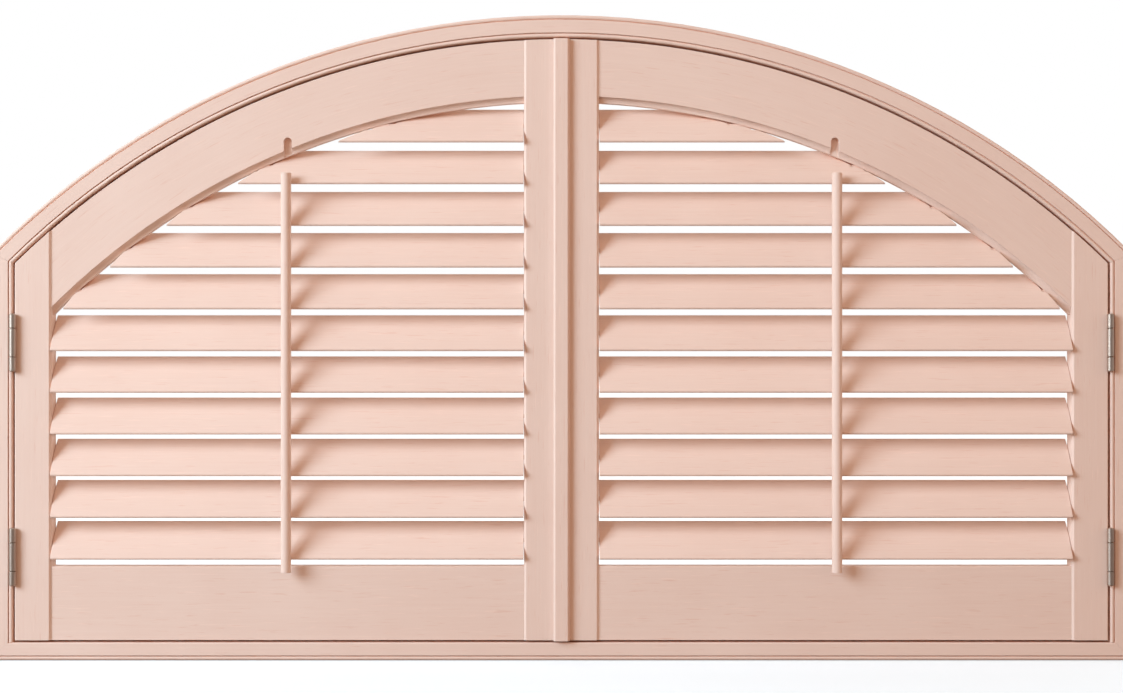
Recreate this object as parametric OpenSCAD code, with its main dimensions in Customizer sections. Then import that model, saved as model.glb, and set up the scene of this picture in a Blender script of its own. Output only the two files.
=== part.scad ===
// Arched plantation shutter: a segmental-arch frame with two hinged leaves of tilting louvers.
// Millimetres. X runs to the right, Y to the back, Z up from the underside of the sill.
// Y = 0 is the middle of the leaves' thickness, X = 0 the line on which the leaves meet.

/* [Frame] */
// Clear width between the jambs
frame_open_w = 1507; // [1300:1:1800]
// Height of the inner arch at its crown, above the underside of the sill
frame_crown_h = 855.5; // [800:0.5:900]
// Height of the inner arch where it meets the jambs
frame_spring_h = 545.6; // [530:0.1:580]
// Width of the moulded face of the head and the jambs
frame_face_w = 30.5; // [26:0.5:45]
// Depth of the frame from its face to its back
frame_depth = 46; // [44:1:80]
// Width of the bead round the inner edge, with its quirk
inner_bead_w = 6.2; // [4:0.1:8]
// Width of the bead round the outer edge, with its quirk
outer_bead_w = 6.4; // [4.5:0.1:8]
// How far the outer bead lies below the face
outer_bead_drop = 1; // [0.4:0.1:2]
// Width of the quirk beside each bead
quirk_w = 0.8; // [0.4:0.1:1.5]
// How far the stop behind the leaves reaches into the opening
stop_reach = 12; // [10:0.5:20]
// Thickness of the stop
stop_t = 10; // [8:0.5:14]
// Gap between the leaves' backs and the stop
stop_gap = 1; // [0.5:0.1:3]

/* [Leaves] */
// Gap between each leaf and the frame
leaf_gap = 3; // [2.8:0.1:5]
// Gap between the two leaves
meeting_gap = 3; // [2:0.1:6]
// Width of the stiles
stile_w = 50; // [45:0.5:70]
// Thickness of the stiles
stile_t = 28; // [26:0.5:36]
// Width of the chamfer along the stiles' inner edges
stile_chamfer_w = 3; // [1.5:0.1:4]
// Thickness of the rails
rail_t = 22; // [20:0.5:25]
// Width of the arched top rail
arched_rail_w = 85; // [75:0.5:110]
// Height of the bottom rail
bottom_rail_h = 101.5; // [70:0.5:160]
// Radius of the cove along the arched rail's lower front edge
arch_cove_r = 7.7; // [6:0.1:9]
// Width of the chamfer along its lower back edge, measured on its back
arch_chamfer_w = 8; // [6:0.1:10]
// Depth of that chamfer
arch_chamfer_d = 5; // [3:0.1:7]
// Small chamfer that eases the other edges
edge_ease = 1.2; // [0.5:0.1:2]

/* [Louvers] */
// Most louvers in a leaf, if the arch leaves room for them
louver_max = 11; // [6:1:11]
// Width of a louver from edge to edge
louver_chord = 63.5; // [60:0.5:66]
// Thickness of a louver in the middle
louver_t = 9; // [7:0.1:10]
// Radius of a louver's long edges
louver_edge_r = 2.3; // [1.2:0.1:2.6]
// Distance between the pivots of neighbouring louvers
louver_pitch = 57.15; // [55:0.05:59]
// Height of the lowest pivot above the bottom rail
first_pivot_h = 34.7; // [33:0.1:40]
// Length of the shortest louver that is worth fitting under the arch
shortest_louver = 150; // [120:1:190]
// Tilt of the louvers as stored, front edge down, at which those under the arch are closed
rest_tilt = 50; // [45:0.5:56]
// Gap between a louver's square end and the stile
louver_end_gap = 0.6; // [0.4:0.1:4]
// Clearance under the arch at every tilt from level to closed
arch_clear = 1; // [0.8:0.1:2]
// Clearance under the arch when closed
arch_rest_clear = 0.4; // [0.35:0.05:0.6]
// How far the closed ends lap past the arch's edge where they clear it
arch_lap = 2; // [0:0.1:4]
// Distance of the front corner of an end under the arch from the arch's edge, when closed
nose_inset = 6.5; // [4:0.1:8]
// Radius of the louver pins
pin_r = 3; // [2:0.1:3.5]
// Depth of the pins in the stiles
pin_depth = 12; // [8:0.5:20]
// Depth of the pins in the arched rail, where they enter at a slant
arch_pin_depth = 26; // [20:0.5:30]
// Radial clearance of the louver pins in their bores
pin_clear = 0.05; // [0.02:0.01:0.1]

/* [Tilt rods] */
// Width of a rod
rod_w = 13.5; // [10:0.5:18]
// Depth of a rod from its flat back to its round front
rod_d = 11.5; // [10:0.5:16]
// Length of a rod above its highest staple
rod_top = 18; // [8:0.5:24]
// Length of a rod below its lowest staple
rod_foot = 13; // [8:0.5:20]
// Number of louvers, counted from the lowest, that a rod moves
linked_count = 10; // [2:1:10]
// Distance of a louver staple's crown from the louver's front edge
staple_reach = 5.25; // [4.8:0.05:7]
// Distance between a staple's legs
staple_w = 6; // [5:0.1:7]
// Radius of the staple wire
wire_r = 0.7; // [0.5:0.05:0.8]
// Depth of the staple legs in the wood
staple_depth = 6; // [4:0.5:8]
// Distance from the rod's back to the crown of a louver staple
rod_gap = 1.6; // [1.4:0.1:2]
// Width of the notch in the arched rail above each rod
notch_w = 11; // [8:0.5:15]
// Depth of that notch from the rail's face
notch_d = 9; // [6:0.5:10]
// Height of that notch above the rail's lower edge
notch_h = 25; // [18:0.5:32]

/* [Astragal] */
// Width of the strip over the meeting gap
astragal_w = 22; // [16:0.5:30]
// How far the strip stands in front of the leaves
astragal_t = 8.5; // [6:0.5:18]
// Chamfer along the strip's front edges
astragal_chamfer = 2.5; // [1:0.1:4]
// Clearance of the strip over the left leaf
astragal_gap = 0.6; // [0.4:0.1:1.5]

/* [Hinges] */
// Height of the lower hinges' middle
lower_hinge_z = 142.5; // [110:0.5:180]
// Height of the upper hinges' middle
upper_hinge_z = 436; // [380:0.5:470]
// Length of a hinge over its knuckles
hinge_len = 78; // [70:0.5:90]
// Length of the middle knuckle
mid_knuckle = 40; // [30:0.5:44]
// Gap between neighbouring knuckles
knuckle_gap = 0.8; // [0.2:0.1:1.2]
// Chamfer round the ends of the knuckles
knuckle_ease = 0.6; // [0.2:0.1:1]
// Radius of the knuckles
barrel_r = 5; // [4:0.1:6]
// Gap between the knuckles and the faces of frame and leaf
barrel_gap = 0.2; // [0.1:0.05:0.5]
// Radius of the hinge pins
hinge_pin_r = 2.5; // [2:0.1:2.8]
// Radial clearance of the hinge pins
hinge_clear = 0.05; // [0.02:0.01:0.1]
// Radius of the pins' button heads
pin_head_r = 3.8; // [3.2:0.1:4]
// Height of the pins' button heads
pin_head_h = 1; // [0.6:0.1:2]
// Thickness of the hinge plates
plate_t = 1.2; // [1:0.05:1.3]
// Reach of the plates behind the faces of frame and leaf
plate_w = 19; // [16:0.5:24]
// Radius of the screw shanks
screw_r = 1.6; // [1.2:0.1:2]
// Radius of the screw heads
screw_head_r = 2.9; // [2.5:0.1:3.5]
// Length of the arms of the cross recess in the screw heads
recess_len = 3.4; // [2:0.1:4.4]
// Width of those arms
recess_w = 0.9; // [0.6:0.1:1.2]
// Depth of the recess
recess_d = 0.8; // [0.4:0.1:1]
// Length of the screws in the wood
screw_len = 16; // [10:0.5:20]
// Distance between the screws of a plate
screw_pitch = 26; // [20:0.5:30]
// Clearance of the screws in their holes
screw_clear = 0.05; // [0.02:0.01:0.1]

/* [Fixing holes] */
// Height of the lower fixing hole in each jamb
fixing_z = 62; // [50:0.5:80]
// Distance between the two fixing holes
fixing_spacing = 440; // [430:0.5:450]
// Radius of the fixing holes
fixing_r = 2.75; // [2:0.05:3.5]
// Radius of their countersinks
fixing_sink_r = 5.5; // [4:0.1:7]

/* [Catch and dowels] */
// Radius of the magnets in the stop
magnet_r = 3; // [2:0.1:3.5]
// Length of the magnets
magnet_len = 5; // [3:0.5:7]
// Height of the magnets above the sill
magnet_h = 7.2; // [6:0.1:8]
// Distance of the magnets from the meeting line
catch_x = 26; // [20:0.5:35]
// Length of a strike plate
strike_len = 20; // [14:0.5:30]
// Height of a strike plate
strike_h = 6; // [5:0.1:7]
// Thickness of a strike plate
strike_t = 1; // [0.6:0.1:1.5]
// Radius of the dowels between stiles and rails
dowel_r = 5; // [3:0.1:5.5]
// Length of the dowels
dowel_len = 50; // [30:1:56]
// Clearance round dowels, magnets and strike plates
seat_clear = 0.05; // [0.02:0.01:0.1]

/* [Hidden] */
$fn = 64;
PAINT = [0.90, 0.74, 0.67];
METAL = [0.70, 0.67, 0.62];
STEEL = [0.78, 0.78, 0.77];
DOWEL = [0.82, 0.68, 0.48];
// A length that runs past the whole shutter
past = 3000;

SIDES = ["left", "right"];
LEVELS = ["lower", "upper"];

// Planes across the depth
front_y = -stile_t / 2;
stop_y = stile_t / 2 + stop_gap;
stop_depth = stop_y - front_y;
rail_front_y = -rail_t / 2;

// Frame outline
half_open = frame_open_w / 2;
outer_half = half_open + frame_face_w;
arch_rise = frame_crown_h - frame_spring_h;
arch_r = (half_open^2 + arch_rise^2) / (2 * arch_rise);
arch_z = frame_crown_h - arch_r;
outer_r = arch_r + frame_face_w;
sill_h = frame_face_w - inner_bead_w;
inner_corner = [half_open, frame_spring_h];
outer_corner = [outer_half, arch_z + sqrt(outer_r^2 - outer_half^2)];
mitre_slope = (outer_corner.y - inner_corner.y) / (outer_corner.x - inner_corner.x);
inner_bead_r = (inner_bead_w - quirk_w) / 2;
outer_bead_r = (outer_bead_w - quirk_w) / 2;
bead_flats = 24;
cove_flats = 8;
// Half of the angle that the head's moulding is turned through before its mitres are cut
head_half_angle = asin(outer_half / outer_r) + 3;

// Leaf outline
leaf_r = arch_r - leaf_gap;
rail_r = leaf_r - arched_rail_w;
leaf_x = half_open - leaf_gap;
meet_x = meeting_gap / 2;
open_in = meet_x + stile_w;
open_out = leaf_x - stile_w;
leaf_z = sill_h + leaf_gap;
bottom_rail_z = leaf_z + bottom_rail_h;
rail_step = (stile_t - rail_t) / 2;

// Louvers
half_chord = louver_chord / 2;
edge_u = half_chord - louver_edge_r;
louver_r = (edge_u^2 + louver_t^2 / 4 - louver_edge_r^2) / (louver_t - 2 * louver_edge_r);
tangent_u = edge_u * louver_r / (louver_r - louver_edge_r);
louver_in = open_in + louver_end_gap;
louver_out = open_out - louver_end_gap;
top_pivot_z = arch_height(louver_in + shortest_louver, rail_r) - louver_t / 2 - arch_clear;
louver_count = min(louver_max, floor((top_pivot_z - pivot_z(1)) / louver_pitch) + 1);
louver_ids = [for (i = [1 : louver_count]) i];
linked = min(linked_count, louver_count);
// Distance in front of the pivot at which a level louver comes clear of the arched rail
fit_edge = rail_t / 2 + arch_clear;
// Where a closed louver passes the lip below the arched rail's cove
lip_u = -(rail_t / 2 - arch_cove_r) / cos(rest_tilt);
// Distance behind the pivot up to which an end under the arch is fitted closely
fit_rear = 0.62 * half_chord;
fit_pitch = 1.5;
fit_count = ceil((fit_rear + fit_edge) / fit_pitch);
fit_step = (fit_rear + fit_edge) / fit_count;
// Distances from the pivot, negative in front of it, at which such an end is set out
FRONT_SHARES = [1, 0.5, 0.2];
REAR_SHARES = [0.75, 1];
END_STATIONS = concat(
    [for (k = FRONT_SHARES) -fit_edge - k * (half_chord - fit_edge)],
    [-fit_edge - 0.51 * fit_step],
    [for (k = [0 : fit_count]) k * fit_step - fit_edge],
    [for (k = REAR_SHARES) k * half_chord]
);
// Height, from a louver's middle plane, of the step between the two levels of such an end
step_n = -max(louver_edge_r + 0.1, 0.275 * louver_t);
// Tilts at which it is fitted
FIT_TILTS = [for (k = [0 : 12]) rest_tilt * k / 12];
// Share of the tilt over which the clearance grows from closed to full
clear_share = 0.25;

// Rods and staples
rod_x = min((open_in + open_out) / 2, nose_end(linked) - rod_w);
crown_u = half_chord + staple_reach;
crown_y = -crown_u * cos(rest_tilt);
crown_drop = crown_u * sin(rest_tilt);
rod_back_y = crown_y - rod_gap;
// The rod's staple is as far behind the crown as the rod is in front of it
hook_y = crown_y + rod_gap;

// Hinges
hinge_x = half_open - leaf_gap / 2;
hinge_y = front_y - barrel_gap - barrel_r;
plate_mid_y = front_y + plate_w / 2;
end_knuckle = (hinge_len - mid_knuckle) / 2;
SCREW_ROWS = [-screw_pitch, 0, screw_pitch];

// Catch and dowels
magnet_z = sill_h + magnet_h;
DOWEL_SHARES = [0.35, 0.6];

// Half width of an arch of radius r at height z
function arch_x(z, r) = sqrt(max(0, r^2 - (z - arch_z)^2));
// Height of an arch of radius r at distance x from the middle
function arch_height(x, r) = arch_z + sqrt(r^2 - x^2);
// Height of the pivot of louver i, counted from the lowest
function pivot_z(i) = bottom_rail_z + first_pivot_h + louver_pitch * (i - 1);
// True for a louver that ends under the arch
function under_arch(i) = arch_x(pivot_z(i) + half_chord, rail_r) < louver_out;
// Half of a louver's thickness at distance u from its pivot
function louver_half(u) = sqrt(louver_r^2 - u^2) - louver_r + louver_t / 2;
// Inner radius of the arched rail's section at depth y
function rail_edge_r(y) = rail_r + max(
    sqrt(max(0, arch_cove_r^2 - (y + rail_t / 2)^2)),
    arch_chamfer_w * max(0, 1 - (rail_t / 2 - y) / arch_chamfer_d)
);
// Clearance under the arch at tilt a
function tilt_clear(a) = min(
    arch_clear,
    arch_rest_clear + (arch_clear - arch_rest_clear) * (1 - a / rest_tilt) / clear_share
);
// How far out a point of louver i may lie, u across the louver and n above its middle plane, at tilt a
function clear_x(i, u, n, a) =
    let (y = u * cos(a) - n * sin(a), z = pivot_z(i) + u * sin(a) + n * cos(a), face = rail_t / 2)
    abs(y) > face + arch_clear ? past : arch_x(z, rail_edge_r(max(-face, min(face, y))) - tilt_clear(a));
// Heights over a louver's middle plane at which its upper or lower level is fitted
function level_heights(u, upper) = upper
    ? [step_n, 0, louver_half(u) / 2, louver_half(u)]
    : [min(step_n, -louver_half(u)), step_n];
// How far out louver i reaches when closed: short of the lip in front of it, and past it behind
function closed_x(i, u, n) =
    let (z = pivot_z(i) + u * sin(rest_tilt), inset = nose_inset * (lip_u - u) / (half_chord + lip_u))
    u <= lip_u
        ? arch_x(z + louver_half(u) * cos(rest_tilt), rail_r - inset)
        : arch_x(z + n * cos(rest_tilt), rail_r + arch_lap);
// End of louver i at distance u from its pivot, for its upper or lower level
function end_x(i, u, upper) =
    let (heights = level_heights(u, upper))
    min(
        louver_out,
        closed_x(i, u, heights[0]),
        min([for (a = FIT_TILTS) for (n = heights) clear_x(i, u, n, a)])
    );
// The same, clear as far as half a step to either side where it is fitted closely
function end_fit(i, u, upper) = u < -fit_edge || u > fit_rear + fit_step / 2
    ? end_x(i, u, upper)
    : min([for (d = [-1, 0, 1]) end_x(i, u + d * fit_step / 2, upper)]);
// Front corner of an end under the arch
function nose_end(i) = end_x(i, -half_chord, true);
// Where the outer pin of louver i begins and how far it reaches
function pin_root(i) = under_arch(i) ? end_x(i, 0, true) : louver_out;
function pin_tip(i) =
    let (edge = arch_x(pivot_z(i), rail_r))
    edge < open_out ? edge + arch_pin_depth : open_out + pin_depth;
// Heights of the dowels in a joint that runs from low to high
function dowel_rows(low, high) = [for (s = DOWEL_SHARES) low + (high - low) * s];
function hinge_z(level) = level == "lower" ? lower_hinge_z : upper_hinge_z;
// Point of the mitre line between head and jamb at distance x from the middle
function mitre_point(x) = [x, inner_corner.y + (x - inner_corner.x) * mitre_slope];

// Everything of the right half is drawn at positive X and mirrored for the left
module on_side(side) {
    mirror([side == "left" ? 1 : 0, 0, 0]) children();
}

// A front outline in X and Z, run through the whole depth
module front_plate(points) {
    rotate([90, 0, 0]) linear_extrude(height = past, center = true) polygon(points);
}

// A section in Y and Z, run along X
module along_x(from, to) {
    translate([from, 0, 0]) rotate([90, 0, 90]) linear_extrude(height = to - from) children();
}

// A round bar along X
module bar_x(from, to, r) {
    translate([from, 0, 0]) rotate([0, 90, 0]) cylinder(h = to - from, r = r);
}

// A round bar along Y
module bar_y(from, to, r) {
    translate([0, from, 0]) rotate([-90, 0, 0]) cylinder(h = to - from, r = r);
}

// Everything within radius r of the arch's centre line
module arch_disc(r) {
    translate([0, 0, arch_z]) rotate([90, 0, 0]) cylinder(h = past, r = r, center = true, $fn = 180);
}

// A section turned round the arch's centre line, up to the given angle on both sides of the crown.
// The section's X is the radius and its Y points to the front.
module arch_sweep(half_angle) {
    translate([0, 0, arch_z]) rotate([90, 0, 0]) rotate([0, 0, 90 - half_angle])
        rotate_extrude(angle = 2 * half_angle, $fn = 180) children();
}

// Round bead, planed in narrow flats
module bead(r) {
    polygon([for (k = [1 : bead_flats]) r * [cos(360 / bead_flats * k), sin(360 / bead_flats * k)]]);
}

// Moulded face of the frame: X is the distance outwards from the inner face, Y the depth from the front
module frame_section() {
    difference() {
        square([frame_face_w, frame_depth]);
        translate([-1, -1]) square([inner_bead_w + 1, inner_bead_r + 1]);
        outer_rebate(frame_face_w);
    }
    translate([inner_bead_r, inner_bead_r]) bead(inner_bead_r);
    outer_bead(frame_face_w);
}

// The rebate in which the outer bead lies, and the bead itself, on a face of the given width
module outer_rebate(face_w) {
    translate([face_w - outer_bead_w, -1]) square([outer_bead_w + 1, outer_bead_drop + outer_bead_r + 1]);
}

module outer_bead(face_w) {
    translate([face_w - outer_bead_r, outer_bead_drop + outer_bead_r]) bead(outer_bead_r);
}

// The stop behind the leaves, in the same section
module stop_section() {
    translate([-stop_reach, stop_depth]) square([stop_reach + edge_ease, stop_t]);
}

// The sill's face has the outer bead but no inner one, so its top edge is only eased
module sill_section() {
    difference() {
        square([sill_h, frame_depth]);
        polygon([[-1, -1], [edge_ease, -1], [edge_ease, 0], [0, edge_ease], [-1, edge_ease]]);
        outer_rebate(sill_h);
    }
    outer_bead(sill_h);
}

module frame_head() {
    low = mitre_point(half_open - stop_reach - 1);
    high = mitre_point(outer_half + 1);
    color(PAINT) intersection() {
        arch_sweep(head_half_angle) translate([arch_r, -front_y]) mirror([0, 1]) {
            frame_section();
            stop_section();
        }
        front_plate([low, high, [high.x, past], [-high.x, past], [-high.x, high.y], [-low.x, low.y]]);
    }
}

module frame_jamb(side) {
    low = mitre_point(half_open - stop_reach - 1);
    high = mitre_point(outer_half + 1);
    color(PAINT) on_side(side) difference() {
        intersection() {
            translate([half_open, front_y, 0]) linear_extrude(height = past) {
                frame_section();
                stop_section();
            }
            front_plate([[outer_half, 0], [outer_half + 1, 0], high, low, [low.x, sill_h],
                [outer_half - sill_h, sill_h]]);
        }
        for (z = [fixing_z, fixing_z + fixing_spacing]) translate([0, 0, z]) {
            bar_x(half_open - 1, outer_half + 1, fixing_r);
            translate([half_open, 0, 0]) rotate([0, 90, 0])
                cylinder(h = fixing_sink_r - fixing_r, r1 = fixing_sink_r, r2 = fixing_r);
        }
        for (level = LEVELS) for (row = SCREW_ROWS) translate([0, plate_mid_y, hinge_z(level) + row])
            bar_x(half_open - 1, half_open + screw_len + screw_clear, screw_r + screw_clear);
    }
}

module frame_sill() {
    color(PAINT) difference() {
        union() {
            intersection() {
                translate([0, front_y, sill_h]) along_x(-outer_half, outer_half) rotate(-90) sill_section();
                front_plate([[-outer_half, 0], [outer_half, 0], [outer_half - sill_h, sill_h],
                    [sill_h - outer_half, sill_h]]);
            }
            translate([stop_reach - half_open, stop_y, sill_h - edge_ease])
                cube([frame_open_w - 2 * stop_reach, stop_t, stop_reach + edge_ease]);
        }
        for (x = [-catch_x, catch_x]) translate([x, 0, magnet_z])
            bar_y(stop_y - 1, stop_y + magnet_len + seat_clear, magnet_r + seat_clear);
    }
}

// Plan of a stile from its outer edge at X = 0 to its chamfered inner edge at X = stile_w
module stile_plan() {
    b = stile_t / 2;
    polygon([
        [edge_ease, -b], [stile_w - stile_chamfer_w, -b], [stile_w, rail_step - b],
        [stile_w, b - rail_step], [stile_w - stile_chamfer_w, b], [edge_ease, b],
        [0, b - edge_ease], [0, edge_ease - b]
    ]);
}

// Bores for the dowels of both rails, at the joint line X = joint_x
module dowel_set(joint_x, r, len) {
    rows = concat(
        dowel_rows(leaf_z, bottom_rail_z),
        dowel_rows(arch_height(joint_x, rail_r), arch_height(joint_x, leaf_r))
    );
    for (z = rows) translate([0, 0, z]) bar_x(joint_x - len / 2, joint_x + len / 2, r);
}

module dowel_bores() {
    for (x = [open_in, open_out])
        dowel_set(x, dowel_r + seat_clear, dowel_len + 2 * seat_clear);
}

module dowels(side) {
    color(DOWEL) on_side(side) for (x = [open_in, open_out]) dowel_set(x, dowel_r, dowel_len);
}

// Bores for the pins of the louvers, at both ends
module pin_bores() {
    for (i = louver_ids) translate([0, 0, pivot_z(i)]) {
        bar_x(open_in - pin_depth - pin_clear, open_in + 1, pin_r + pin_clear);
        bar_x(pin_root(i), pin_tip(i) + pin_clear, pin_r + pin_clear);
    }
}

module hinge_stile(side) {
    color(PAINT) on_side(side) difference() {
        intersection() {
            translate([leaf_x, 0, leaf_z]) mirror([1, 0, 0]) linear_extrude(height = past) stile_plan();
            arch_disc(leaf_r);
        }
        pin_bores();
        dowel_bores();
        for (level = LEVELS) for (row = SCREW_ROWS) translate([0, plate_mid_y, hinge_z(level) + row])
            bar_x(leaf_x - screw_len - screw_clear, leaf_x + 1, screw_r + screw_clear);
    }
}

module meeting_stile(side) {
    color(PAINT) on_side(side) difference() {
        intersection() {
            translate([meet_x, 0, leaf_z]) linear_extrude(height = past) stile_plan();
            arch_disc(leaf_r);
        }
        pin_bores();
        dowel_bores();
        strike_block(seat_clear);
    }
}

// Section of the arched rail: X is the radius, Y points to the front
module arched_rail_section() {
    f = rail_t / 2;
    cove = [for (k = [0 : cove_flats]) let (t = 90 * k / cove_flats)
        [rail_r + arch_cove_r * cos(t), f - arch_cove_r * sin(t)]];
    polygon(concat(
        [[leaf_r, f]], cove,
        [[rail_r, arch_chamfer_d - f], [rail_r + arch_chamfer_w, -f], [leaf_r, -f]]
    ));
}

// Round-topped notch above the rod, open at the rail's lower edge
module notch() {
    top = arch_height(rod_x, rail_r) + notch_h - notch_w / 2;
    translate([rod_x, 0, 0]) {
        translate([0, 0, top]) bar_y(rail_front_y - 1, rail_front_y + notch_d, notch_w / 2);
        translate([-notch_w / 2, rail_front_y - 1, top - 2 * notch_h])
            cube([notch_w, notch_d + 1, 2 * notch_h]);
    }
}

module arched_rail(side) {
    color(PAINT) on_side(side) difference() {
        intersection() {
            arch_sweep(head_half_angle) arched_rail_section();
            front_plate([[open_in, 0], [open_out, 0], [open_out, past], [open_in, past]]);
        }
        pin_bores();
        dowel_bores();
        notch();
    }
}

// Section of the bottom rail: X is the depth, Y the height
module bottom_rail_section() {
    b = rail_t / 2;
    polygon([
        [-b, 0], [b, 0], [b, bottom_rail_h - edge_ease], [b - edge_ease, bottom_rail_h],
        [edge_ease - b, bottom_rail_h], [-b, bottom_rail_h - edge_ease]
    ]);
}

module bottom_rail(side) {
    color(PAINT) on_side(side) difference() {
        translate([0, 0, leaf_z]) along_x(open_in, open_out) bottom_rail_section();
        dowel_bores();
    }
}

// The strip is fixed to the right leaf and laps over the left one
module astragal() {
    w = astragal_w / 2;
    face_y = front_y - astragal_t;
    color(PAINT) intersection() {
        translate([0, 0, leaf_z]) linear_extrude(height = past) polygon([
            [w, front_y], [meet_x, front_y], [meet_x, front_y - astragal_gap], [-w, front_y - astragal_gap],
            [-w, face_y + astragal_chamfer], [astragal_chamfer - w, face_y],
            [w - astragal_chamfer, face_y], [w, face_y + astragal_chamfer]
        ]);
        arch_disc(leaf_r);
    }
}

// Lens-shaped section of a louver with round edges: X runs from front to back, Y is the thickness
module louver_section() {
    rise = louver_r - louver_t / 2;
    intersection() {
        translate([0, rise]) circle(r = louver_r, $fn = 180);
        translate([0, -rise]) circle(r = louver_r, $fn = 180);
        square([2 * tangent_u, louver_t], center = true);
    }
    for (u = [-edge_u, edge_u]) translate([u, 0]) circle(r = louver_edge_r);
}

// Plan of an end under the arch, for its upper or lower level
module fitted_plan(i, upper) {
    fitted = [for (u = END_STATIONS) [end_fit(i, u, upper), u]];
    nose = [[louver_in, -louver_chord], [nose_end(i), -louver_chord]];
    tail = [[fitted[len(fitted) - 1].x, louver_chord], [louver_in, louver_chord]];
    polygon(concat(nose, fitted, tail));
}

// A louver with two square ends, or with its outer end fitted under the arch in two levels
module louver_blade(i) {
    if (under_arch(i)) for (upper = [true, false]) intersection() {
        along_x(louver_in, louver_out) louver_section();
        translate([0, 0, upper ? step_n : step_n - louver_t])
            linear_extrude(height = louver_t) fitted_plan(i, upper);
    }
    else along_x(louver_in, louver_out) louver_section();
}

// Wire staple in the louver's front edge, its crown parallel to the edge
module louver_staple() {
    for (x = [-staple_w / 2, staple_w / 2]) translate([rod_x + x, 0, 0]) {
        bar_y(-crown_u, staple_depth - half_chord, wire_r);
        translate([0, -crown_u, 0]) sphere(r = wire_r);
    }
    translate([0, -crown_u, 0]) bar_x(rod_x - staple_w / 2, rod_x + staple_w / 2, wire_r);
}

module louver(side, i) {
    color(PAINT) on_side(side) translate([0, 0, pivot_z(i)]) rotate([rest_tilt, 0, 0]) {
        louver_blade(i);
        bar_x(open_in - pin_depth, louver_in + pin_depth, pin_r);
        bar_x(pin_root(i) - pin_depth, pin_tip(i), pin_r);
        if (i <= linked) louver_staple();
    }
}

// Section of a rod with a flat back at Y = 0 and a half-round front
module rod_section() {
    half_w = rod_w / 2;
    intersection() {
        union() {
            translate([-half_w, half_w - rod_d]) square([rod_w, rod_d - half_w]);
            translate([0, half_w - rod_d]) circle(r = half_w);
        }
        translate([-half_w, -rod_d]) square([rod_w, rod_d]);
    }
}

module tilt_rod(side) {
    low = pivot_z(1) - crown_drop - rod_foot;
    high = pivot_z(linked) - crown_drop + rod_top;
    color(PAINT) on_side(side) difference() {
        translate([rod_x, rod_back_y, low]) linear_extrude(height = high - low) rod_section();
        for (i = [1 : linked]) for (z = [-staple_w / 2, staple_w / 2])
            translate([rod_x, 0, pivot_z(i) - crown_drop + z])
                bar_y(rod_back_y - staple_depth - seat_clear, rod_back_y + 1, wire_r + seat_clear);
    }
}

// Wire staples in the rod's back, each hooked behind the crown of a louver staple
module rod_staples(side) {
    color(STEEL) on_side(side) for (i = [1 : linked])
        translate([rod_x, 0, pivot_z(i) - crown_drop]) {
            for (z = [-staple_w / 2, staple_w / 2]) translate([0, 0, z]) {
                bar_y(rod_back_y - staple_depth, hook_y, wire_r);
                translate([0, hook_y, 0]) sphere(r = wire_r);
            }
            translate([0, hook_y, -staple_w / 2]) cylinder(h = staple_w, r = wire_r);
        }
}

// Knuckle of the given length with chamfered ends
module knuckle(h) {
    small_r = barrel_r - knuckle_ease;
    rotate_extrude() polygon([
        [0, 0], [small_r, 0], [barrel_r, knuckle_ease], [barrel_r, h - knuckle_ease], [small_r, h], [0, h]
    ]);
}

// Plate of a hinge between X = from and X = to, with knuckles at the given heights, [start, end]
module hinge_plate(from, to, knuckles) {
    difference() {
        union() {
            translate([from, front_y, -hinge_len / 2]) cube([to - from, plate_w, hinge_len]);
            for (k = knuckles) translate([0, 0, k[0]]) {
                translate([hinge_x, hinge_y, 0]) knuckle(k[1] - k[0]);
                translate([from, hinge_y, 0]) cube([to - from, front_y - hinge_y + 1, k[1] - k[0]]);
            }
        }
        translate([hinge_x, hinge_y, -hinge_len]) cylinder(h = 2 * hinge_len, r = hinge_pin_r + hinge_clear);
    }
}

// Countersunk screw along X with its head's face at X = 0 and its shank towards +X, grown by extra
module screw(extra) {
    bar_x(plate_t - extra, plate_t + screw_len + extra, screw_r + extra);
    rotate([0, 90, 0]) cylinder(h = plate_t, r1 = screw_head_r + extra, r2 = screw_r + extra);
}

module crossed_screw() {
    difference() {
        screw(0);
        cross_recess();
    }
}

module cross_recess() {
    for (turn = [0, 90]) rotate([turn, 0, 0])
        translate([-1, -recess_len / 2, -recess_w / 2]) cube([recess_d + 1, recess_len, recess_w]);
}

// Places of the screws of a frame plate and of a leaf plate
module at_frame_screws(level) {
    for (row = SCREW_ROWS) translate([half_open - plate_t, plate_mid_y, hinge_z(level) + row]) children();
}

module at_leaf_screws(level) {
    for (row = SCREW_ROWS)
        translate([leaf_x + plate_t, plate_mid_y, hinge_z(level) + row]) mirror([1, 0, 0]) children();
}

module hinge_frame_plate(side, level) {
    ends = [[-hinge_len / 2, end_knuckle - hinge_len / 2], [hinge_len / 2 - end_knuckle, hinge_len / 2]];
    color(METAL) on_side(side) difference() {
        translate([0, 0, hinge_z(level)]) hinge_plate(half_open - plate_t, half_open, ends);
        at_frame_screws(level) screw(screw_clear);
    }
}

module hinge_leaf_plate(side, level) {
    reach = mid_knuckle / 2 - knuckle_gap;
    color(METAL) on_side(side) difference() {
        translate([0, 0, hinge_z(level)]) hinge_plate(leaf_x, leaf_x + plate_t, [[-reach, reach]]);
        at_leaf_screws(level) screw(screw_clear);
    }
}

module hinge_pin(side, level) {
    color(METAL) on_side(side) translate([hinge_x, hinge_y, hinge_z(level)]) {
        cylinder(h = hinge_len + 2 * pin_head_h, r = hinge_pin_r, center = true);
        for (end = [0, 1]) mirror([0, 0, end]) translate([0, 0, hinge_len / 2])
            cylinder(h = pin_head_h, r1 = pin_head_r, r2 = hinge_pin_r);
    }
}

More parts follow.
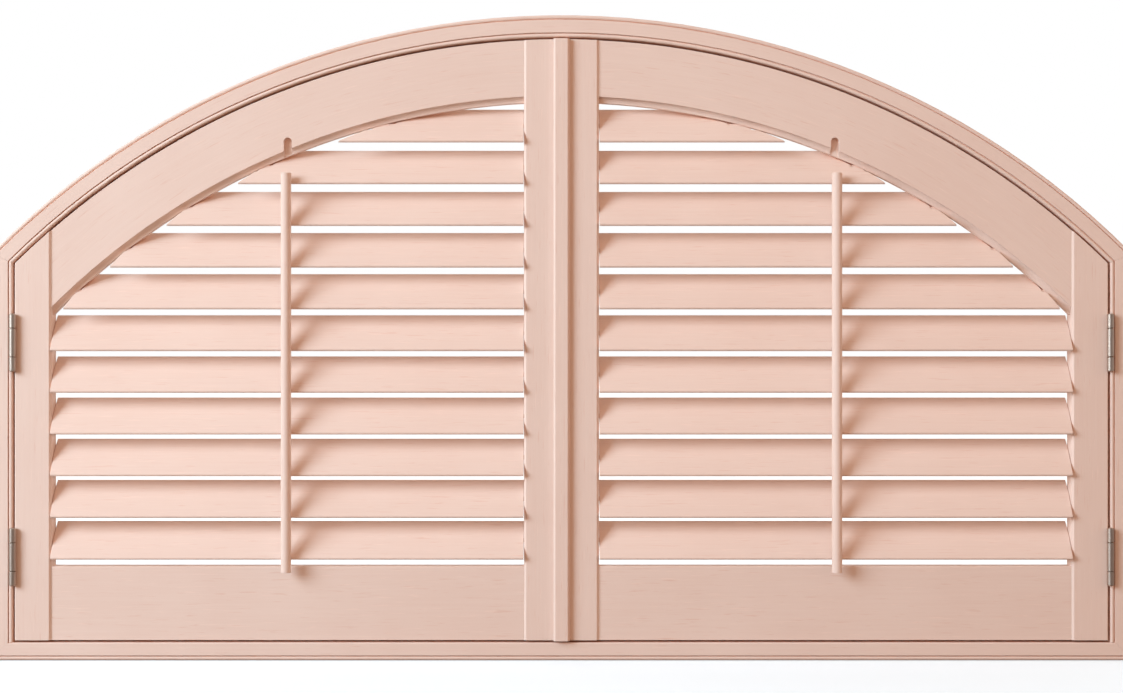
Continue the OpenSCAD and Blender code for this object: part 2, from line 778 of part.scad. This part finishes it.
module frame_hinge_screws() {
    color(METAL) for (side = SIDES) on_side(side) for (level = LEVELS) at_frame_screws(level) crossed_screw();
}

module leaf_hinge_screws(side) {
    color(METAL) on_side(side) for (level = LEVELS) at_leaf_screws(level) crossed_screw();
}

module catch_magnets() {
    color(STEEL) for (x = [-catch_x, catch_x]) translate([x, 0, magnet_z])
        bar_y(stop_y, stop_y + magnet_len, magnet_r);
}

// Block of the strike plate in the back of the meeting stile, grown by extra
module strike_block(extra) {
    middle = [catch_x, (stile_t - strike_t) / 2, magnet_z];
    grown = [strike_len, strike_t, strike_h] + 2 * [extra, extra, extra];
    translate(middle - grown / 2) cube(grown);
}

module strike_plate(side) {
    color(STEEL) on_side(side) strike_block(0);
}

frame_head();
for (s = SIDES) frame_jamb(s);
frame_sill();
for (s = SIDES) hinge_stile(s);
for (s = SIDES) meeting_stile(s);
for (s = SIDES) arched_rail(s);
for (s = SIDES) bottom_rail(s);
for (s = SIDES) dowels(s);
astragal();
for (s = SIDES) for (i = louver_ids) louver(s, i);
for (s = SIDES) tilt_rod(s);
for (s = SIDES) rod_staples(s);
for (s = SIDES) for (l = LEVELS) {
    hinge_frame_plate(s, l);
    hinge_leaf_plate(s, l);
    hinge_pin(s, l);
}
frame_hinge_screws();
for (s = SIDES) leaf_hinge_screws(s);
catch_magnets();
for (s = SIDES) strike_plate(s);
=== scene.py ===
import bpy
import math
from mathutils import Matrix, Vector

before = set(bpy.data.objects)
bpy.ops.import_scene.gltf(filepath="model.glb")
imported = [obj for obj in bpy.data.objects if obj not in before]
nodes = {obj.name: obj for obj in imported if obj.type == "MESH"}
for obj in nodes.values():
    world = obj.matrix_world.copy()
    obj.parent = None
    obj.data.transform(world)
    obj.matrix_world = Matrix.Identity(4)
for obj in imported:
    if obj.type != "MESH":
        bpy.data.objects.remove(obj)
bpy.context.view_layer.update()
print("frame loaded:", len(nodes), "nodes")


# shader helpers

class Wire:
    # an output socket that can be added, subtracted and multiplied like a number
    def __init__(self, tree, socket):
        self.tree = tree
        self.socket = socket

    def add(self, kind, settings=None, inputs=None, out=0):
        node = self.tree.nodes.new(kind)
        for key, value in (settings or {}).items():
            setattr(node, key, value)
        for key, value in (inputs or {}).items():
            plug(self.tree, node.inputs[key], value)
        return Wire(self.tree, node.outputs[out])

    def math(self, operation, *others):
        values = dict(enumerate((self,) + others))
        return self.add("ShaderNodeMath", {"operation": operation}, values)

    def __add__(self, other):
        return self.math("ADD", other)

    def __radd__(self, other):
        return self.math("ADD", other)

    def __sub__(self, other):
        return self.math("SUBTRACT", other)

    def __rsub__(self, other):
        return self.add("ShaderNodeMath", {"operation": "SUBTRACT"}, {0: other, 1: self})

    def __mul__(self, other):
        return self.math("MULTIPLY", other)

    def __rmul__(self, other):
        return self.math("MULTIPLY", other)

    def __pow__(self, other):
        return self.math("POWER", other)

    def ramp(self, low, high):
        # 0 below low, 1 above high, smooth between
        return self.add("ShaderNodeMapRange", {"interpolation_type": "SMOOTHSTEP"},
                        {0: self, 1: low, 2: high, 3: 0.0, 4: 1.0})

    def mixColor(self, a, b):
        # colour a where this wire is 0, colour b where it is 1
        return self.add("ShaderNodeMix", {"data_type": "RGBA"}, {0: self, 6: a, 7: b}, 2)

    def parts(self):
        node = self.tree.nodes.new("ShaderNodeSeparateXYZ")
        plug(self.tree, node.inputs[0], self)
        return [Wire(self.tree, out) for out in node.outputs]

    def dot(self, other):
        return self.add("ShaderNodeVectorMath", {"operation": "DOT_PRODUCT"},
                        {0: self, 1: other}, 1)


def plug(tree, socket, value):
    if isinstance(value, Wire):
        tree.links.new(value.socket, socket)
    elif isinstance(value, tuple) and len(value) == 3 and len(socket.default_value) == 4:
        socket.default_value = (*value, 1.0)
    else:
        socket.default_value = value


def srgb(r, g, b):
    # picture colour 0 to 255 into the linear values that the shader works in
    def linear(c):
        return ((c / 255 + 0.055) / 1.055) ** 2.4 if c > 10 else c / 255 / 12.92
    return tuple(linear(c) for c in (r, g, b))


def newMaterial(name):
    # a new material, its shader node, a wire to build from, and the object's own coordinates
    material = bpy.data.materials.new(name)
    material.use_nodes = True
    tree = material.node_tree
    shader = tree.nodes["Principled BSDF"]
    wire = Wire(tree, None)
    place = wire.add("ShaderNodeTexCoord", out="Object")
    return material, shader, wire, place


def finishSurface(wire, shader, colour, rough, normal):
    plug(wire.tree, shader.inputs["Base Color"], colour)
    plug(wire.tree, shader.inputs["Roughness"], rough)
    plug(wire.tree, shader.inputs["Normal"], normal)


def noise(wire, vector, scale, detail=3.0, rough=0.55):
    return wire.add("ShaderNodeTexNoise", {"noise_dimensions": "3D"},
                    {"Vector": vector, "Scale": scale, "Detail": detail, "Roughness": rough}, "Fac")


def combine(wire, x, y, z):
    return wire.add("ShaderNodeCombineXYZ", None, {0: x, 1: y, 2: z})


def stretched(wire, vector, scales, detail, rough):
    # noise drawn out along an axis by giving each axis its own scale
    x, y, z = vector.parts()
    return noise(wire, combine(wire, x * scales[0], y * scales[1], z * scales[2]), 1.0, detail, rough)


def edges(wire, radius, sharpness):
    # a normal rounded at the edges, and a mask of those edges
    rounded = wire.add("ShaderNodeBevel", {"samples": 6}, {"Radius": radius})
    flat = wire.add("ShaderNodeNewGeometry", out="Normal")
    return rounded, (1.0 - rounded.dot(flat)).ramp(0.02, sharpness)


def sheltered(wire, distance, low, high):
    # 1 where other surfaces stand close by
    nook = wire.add("ShaderNodeAmbientOcclusion", {"samples": 6}, {"Distance": distance}, "AO")
    return (1.0 - nook).ramp(low, high)


# painted wood

paintLook = {
    "paint": srgb(238, 219, 209),
    "deep": srgb(234, 212, 201),
    "thin": srgb(243, 226, 217),
    # painted warm shade for the nooks and gaps, standing in for light bounced between the painted
    # parts
    "warmShadeColour": srgb(243, 188, 158),
    "roughness": 0.58,
    "specular": 0.32,
    "edgeRadius": 0.0011,
    "nookReach": 0.012,
    "fibreAcross": 330.0,
    "fibreAlong": 7.0,
    "tickAcross": 430.0,
    "tickAlong": 26.0,
    "tickLight": srgb(245, 223, 212),
    "tickDark": srgb(226, 193, 178),
    "bumpStrength": 0.30,
    "bumpDepth": 0.00035,
    # the circle that the arch's grain follows
    "archCentreZ": -0.2155,
    "archRadius": 1.05,
    # in front of this plane a louver's mesh is its wire staple
    "stapleStartY": -0.02132,
    "stapleBlend": 0.00004,
    "stapleColour": srgb(196, 192, 184),
    "stapleRoughness": 0.3,
}


def grainVector(wire, place, run):
    # the object's coordinates turned so that the grain runs along the first one
    x, y, z = place.parts()
    if run == "x":
        return combine(wire, x, y, z)
    if run == "z":
        return combine(wire, z, x, y)
    rise = z - paintLook["archCentreZ"]
    radius = (x * x + rise * rise) ** 0.5
    turn = x.math("ARCTAN2", rise)
    return combine(wire, turn * paintLook["archRadius"], radius, y)


def paintMaterial(name, run, relief=1.0, staples=False):
    look = paintLook
    material, shader, wire, place = newMaterial(name)
    along, across, depth = grainVector(wire, place, run).parts()

    def streaks(alongScale, acrossScale, detail, shift=0.0):
        vector = combine(wire, along * alongScale + shift,
                         across * acrossScale, depth * acrossScale)
        return noise(wire, vector, 1.0, detail, 0.55)

    fibre = streaks(look["fibreAlong"], look["fibreAcross"], 4.0)
    lightTicks = streaks(look["tickAlong"], look["tickAcross"], 2.0).ramp(0.60, 0.74)
    darkTicks = streaks(look["tickAlong"], look["tickAcross"], 2.0, 31.7).ramp(0.61, 0.75)
    brush = streaks(18.0, 150.0, 3.0, 7.3)
    pores = streaks(60.0, 1500.0, 2.0, 3.1).ramp(0.60, 0.74)
    peel = noise(wire, place, 420.0, 2.0, 0.5)
    cloud = noise(wire, place, 7.0, 3.0, 0.5)

    # paint rubbed thin at the edges, painted warm shade where it is sheltered
    rounded, edge = edges(wire, look["edgeRadius"], 0.22)
    rubbed = edge * noise(wire, place, 95.0, 4.0, 0.65).ramp(0.40, 0.66)
    shelter = sheltered(wire, look["nookReach"], 0.45, 0.95)
    # painted warm shade in the sheltered places, a little uneven
    paintedNookShade = shelter * (0.70 + 0.30 * noise(wire, place, 160.0, 3.0, 0.6))

    tone = (0.50 * cloud + 0.38 * fibre + 0.12 * brush).ramp(0.28, 0.72)
    colour = tone.mixColor(look["deep"], look["paint"])
    colour = (lightTicks * 0.55).mixColor(colour, look["tickLight"])
    colour = (darkTicks * 0.55).mixColor(colour, look["tickDark"])
    colour = (rubbed * 0.55).mixColor(colour, look["thin"])
    # painted warm shade mixed into the colour of the nooks
    colour = (paintedNookShade * 0.75).mixColor(colour, look["warmShadeColour"])
    rough = look["roughness"] + 0.10 * (brush - 0.5) + 0.08 * (cloud - 0.5)
    rough = rough - 0.06 * rubbed + 0.12 * paintedNookShade

    height = 0.60 * fibre + 0.30 * brush + 0.16 * peel
    height = height + 0.40 * (lightTicks - darkTicks) - 0.25 * pores
    normal = wire.add("ShaderNodeBump", None,
                      {"Strength": look["bumpStrength"] * relief, "Distance": look["bumpDepth"],
                       "Height": height, "Normal": rounded})
    if staples:
        metal = (look["stapleStartY"] - place.parts()[1]).ramp(0.0, look["stapleBlend"])
        colour = metal.mixColor(colour, look["stapleColour"])
        rough = rough * (1.0 - metal) + metal * look["stapleRoughness"]
        plug(wire.tree, shader.inputs["Metallic"], metal)
    finishSurface(wire, shader, colour, rough, normal)
    shader.inputs["Specular IOR Level"].default_value = look["specular"]
    return material


paintX = paintMaterial("paintAlongX", "x", 0.5)
paintZ = paintMaterial("paintAlongZ", "z")
paintArch = paintMaterial("paintAlongArch", "arch")
paintLouver = paintMaterial("paintLouver", "x", 0.5, True)
print("paint made")


# satin nickel of the hinges and screws

nickelLook = {
    "base": srgb(196, 177, 164),
    "worn": srgb(180, 161, 148),
    "edge": srgb(215, 200, 189),
    # colour of the painted shade in the hollows
    "shade": srgb(146, 129, 117),
    "roughness": 0.46,
    "edgeRadius": 0.00035,
    "nookReach": 0.004,
    "lineScales": (90.0, 90.0, 5200.0),
    "markScales": (700.0, 700.0, 60.0),
    "bumpStrength": 0.18,
    "bumpDepth": 0.00012,
}


def nickelMaterial(name):
    look = nickelLook
    material, shader, wire, place = newMaterial(name)
    lines = stretched(wire, place, look["lineScales"], 3.0, 0.6)
    cloud = noise(wire, place, 60.0, 3.0, 0.5)
    marks = stretched(wire, place, look["markScales"], 2.0, 0.5).ramp(0.66, 0.74)
    rounded, edge = edges(wire, look["edgeRadius"], 0.3)
    # painted shade in the hollows of the hinges and screws
    paintedHollowShade = sheltered(wire, look["nookReach"], 0.3, 0.95)
    tone = (0.6 * cloud + 0.4 * lines).ramp(0.25, 0.75)
    colour = (tone * 0.35).mixColor(look["base"], look["worn"])
    colour = (edge * 0.5).mixColor(colour, look["edge"])
    # painted shade mixed into the colour of the hollows
    colour = (paintedHollowShade * 0.7).mixColor(colour, look["shade"])
    rough = look["roughness"] + 0.14 * (lines - 0.5) + 0.10 * (cloud - 0.5) + 0.10 * marks
    normal = wire.add("ShaderNodeBump", None,
                      {"Strength": look["bumpStrength"], "Distance": look["bumpDepth"],
                       "Height": lines + 0.4 * marks, "Normal": rounded})
    finishSurface(wire, shader, colour, rough, normal)
    shader.inputs["Metallic"].default_value = 1.0
    return material


# steel wire, strike plates and magnets

wireLook = {"bright": srgb(205, 202, 196), "dull": srgb(150, 146, 138),
            "roughness": 0.30, "across": 2600.0}
strikeLook = {"bright": srgb(196, 198, 200), "dull": srgb(158, 160, 163),
              "roughness": 0.38, "across": 700.0}
magnetLook = {"bright": srgb(188, 188, 190), "dull": srgb(140, 140, 143),
              "roughness": 0.26, "across": 1200.0}


def steelMaterial(name, look):
    material, shader, wire, place = newMaterial(name)
    drawn = stretched(wire, place, (look["across"], 80.0, look["across"]), 3.0, 0.6)
    spots = noise(wire, place, 900.0, 3.0, 0.6).ramp(0.58, 0.72)
    colour = (0.5 * spots + 0.3 * drawn).mixColor(look["bright"], look["dull"])
    rough = look["roughness"] + 0.15 * (drawn - 0.5) + 0.15 * spots
    normal = wire.add("ShaderNodeBump", None,
                      {"Strength": 0.2, "Distance": 0.00008, "Height": drawn - 0.5 * spots})
    finishSurface(wire, shader, colour, rough, normal)
    shader.inputs["Metallic"].default_value = 1.0
    return material


# beech dowels

dowelLook = {
    "pale": srgb(222, 190, 146),
    "brown": srgb(196, 158, 112),
    "ray": srgb(160, 118, 78),
    "roughness": 0.62,
    "fibreScales": (18.0, 900.0, 900.0),
    "rayScales": (120.0, 2400.0, 2400.0),
}


def dowelMaterial(name):
    look = dowelLook
    material, shader, wire, place = newMaterial(name)
    fibre = stretched(wire, place, look["fibreScales"], 4.0, 0.6)
    rays = stretched(wire, place, look["rayScales"], 2.0, 0.5).ramp(0.62, 0.7)
    colour = fibre.ramp(0.3, 0.7).mixColor(look["pale"], look["brown"])
    colour = (rays * 0.5).mixColor(colour, look["ray"])
    rough = look["roughness"] + 0.2 * (fibre - 0.5)
    normal = wire.add("ShaderNodeBump", None,
                      {"Strength": 0.4, "Distance": 0.0003, "Height": fibre - 0.5 * rays})
    finishSurface(wire, shader, colour, rough, normal)
    return material


nickel = nickelMaterial("satinNickel")
stapleSteel = steelMaterial("stapleWire", wireLook)
strikeSteel = steelMaterial("strikeZinc", strikeLook)
magnetPlate = steelMaterial("magnetNickel", magnetLook)
beech = dowelMaterial("dowelBeech")
print("metals and dowels made")


# every CAD node takes its material

def materialFor(name):
    if "hinge_stile" in name or "meeting_stile" in name or "jamb" in name:
        return paintZ
    if name == "astragal" or name.endswith("tilt_rod"):
        return paintZ
    if name == "frame_head" or name.endswith("arched_rail"):
        return paintArch
    if "_louver_" in name:
        return paintLouver
    if name == "frame_sill" or name.endswith("bottom_rail"):
        return paintX
    if name.endswith("rod_staples"):
        return stapleSteel
    if name.endswith("strike_plate"):
        return strikeSteel
    if name.endswith("dowels"):
        return beech
    if name == "catch_magnets":
        return magnetPlate
    return nickel


for name, obj in nodes.items():
    material = materialFor(name)
    if not obj.material_slots:
        obj.data.materials.append(material)
    for slot in obj.material_slots:
        slot.material = material
print("materials assigned to", len(nodes), "nodes")


# floor

floorLook = {
    "height": -0.001,
    "size": 40.0,
    "glowNear": (0.50, 0.50, 0.50),
    "glowFar": (0.80, 0.80, 0.80),
    "nearReach": 0.45,
    "farReach": 1.35,
    "shade": (0.60, 0.74, 0.84),
    "bounce": (0.19, 0.11, 0.06),
}


def buildFloor():
    # glows for the camera alone, less near the object so that its shadow shows
    look = floorLook
    bpy.ops.object.select_all(action="DESELECT")
    bpy.ops.mesh.primitive_plane_add(size=look["size"], location=(0, 0, look["height"]))
    floor = bpy.context.object
    floor.name = "floor"
    bpy.ops.object.transform_apply(location=True, rotation=False, scale=True)
    material = bpy.data.materials.new("paleFloor")
    material.use_nodes = True
    tree = material.node_tree
    tree.nodes.remove(tree.nodes["Principled BSDF"])
    wire = Wire(tree, None)
    seen = wire.add("ShaderNodeLightPath", out="Is Camera Ray")
    x, y = wire.add("ShaderNodeTexCoord", out="Object").parts()[:2]
    # the object is wider than deep, so x counts for less
    away = (0.36 * x * x + y * y) ** 0.5
    white = away.ramp(look["nearReach"], look["farReach"]).mixColor(look["glowNear"], look["glowFar"])
    glow = wire.add("ShaderNodeEmission", None, {"Color": white, "Strength": 1.0})
    shade = wire.add("ShaderNodeBsdfDiffuse", None, {"Color": look["shade"]})
    bounce = wire.add("ShaderNodeBsdfDiffuse", None, {"Color": look["bounce"]})
    lit = wire.add("ShaderNodeAddShader", None, {0: glow, 1: shade})
    mixed = wire.add("ShaderNodeMixShader", None, {0: seen, 1: bounce, 2: lit})
    tree.links.new(mixed.socket, tree.nodes["Material Output"].inputs["Surface"])
    floor.data.materials.append(material)


# room light

roomLook = {
    "warm": (0.97, 0.61, 0.43),
    "behind": (1.55, 1.45, 1.38),
    "horizon": 1.37,
    "zenith": 0.22,
    "mirror": (1.0, 0.98, 0.95),
    "sideGlow": 0.55,
    "frontGlow": 0.36,
}


def buildWorld():
    # white to the camera; warm room light, strongest low down; bright sides for the metal to mirror
    look = roomLook
    world = bpy.data.worlds.new("studio")
    bpy.context.scene.world = world
    world.use_nodes = True
    tree = world.node_tree
    tree.nodes.remove(tree.nodes["Background"])
    wire = Wire(tree, None)
    x, y, z = wire.add("ShaderNodeTexCoord", out="Generated").parts()
    height = look["horizon"] + (look["zenith"] - look["horizon"]) * z.ramp(0.0, 1.0)
    # a paler light low down behind, for the back
    back = y.ramp(0.0, 0.60) * (1.0 - z.ramp(0.35, 0.70))
    room = wire.add("ShaderNodeBackground", None,
                    {"Color": back.mixColor(look["warm"], look["behind"]), "Strength": height})
    sides = x.math("ABSOLUTE").ramp(0.24, 0.44) * (0.0 - y).ramp(-0.25, 0.10)
    gloss = look["frontGlow"] + (look["sideGlow"] - look["frontGlow"]) * sides
    mirrored = wire.add("ShaderNodeBackground", None, {"Color": look["mirror"], "Strength": gloss})
    white = wire.add("ShaderNodeBackground", None, {"Color": (1.0, 1.0, 1.0), "Strength": 1.0})
    glossy = wire.add("ShaderNodeLightPath", out="Is Glossy Ray")
    seen = wire.add("ShaderNodeLightPath", out="Is Camera Ray")
    mixed = wire.add("ShaderNodeMixShader", None, {0: glossy, 1: room, 2: mirrored})
    mixed = wire.add("ShaderNodeMixShader", None, {0: seen, 1: mixed, 2: white})
    tree.links.new(mixed.socket, tree.nodes["World Output"].inputs["Surface"])


# lamps

keyLight = {"place": (-4.37, -3.29, 2.15), "target": (0.0, 0.0, 0.43),
            "size": 3.3, "power": 275.0, "colour": (0.81, 1.02, 1.15)}
fillLight = {"place": (4.2, -1.4, 0.9), "target": (0.0, 0.0, 0.4),
             "size": 2.2, "power": 8.0, "colour": (1.0, 0.95, 0.91)}


def buildLight(name, look):
    light = bpy.data.lights.new(name, "AREA")
    light.shape = "DISK"
    light.size = look["size"]
    light.energy = look["power"]
    light.color = look["colour"]
    obj = bpy.data.objects.new(name, light)
    bpy.context.scene.collection.objects.link(obj)
    obj.location = look["place"]
    aim = Vector(look["target"]) - Vector(look["place"])
    obj.rotation_euler = aim.to_track_quat("-Z", "Y").to_euler()


# camera

cameraLook = {"place": (0.0, -2.55, 0.4307), "lens": 59.24, "sensor": 36.0}


def buildCamera():
    camera = bpy.data.cameras.new("camera")
    camera.sensor_width = cameraLook["sensor"]
    camera.sensor_fit = "HORIZONTAL"
    camera.lens = cameraLook["lens"]
    obj = bpy.data.objects.new("camera", camera)
    bpy.context.scene.collection.objects.link(obj)
    obj.location = cameraLook["place"]
    obj.rotation_euler = (math.radians(90), 0, 0)
    bpy.context.scene.camera = obj


buildFloor()
buildWorld()
buildLight("key", keyLight)
buildLight("fill", fillLight)
buildCamera()
bpy.context.scene.view_settings.view_transform = "Standard"
print("stage, lights and camera made")
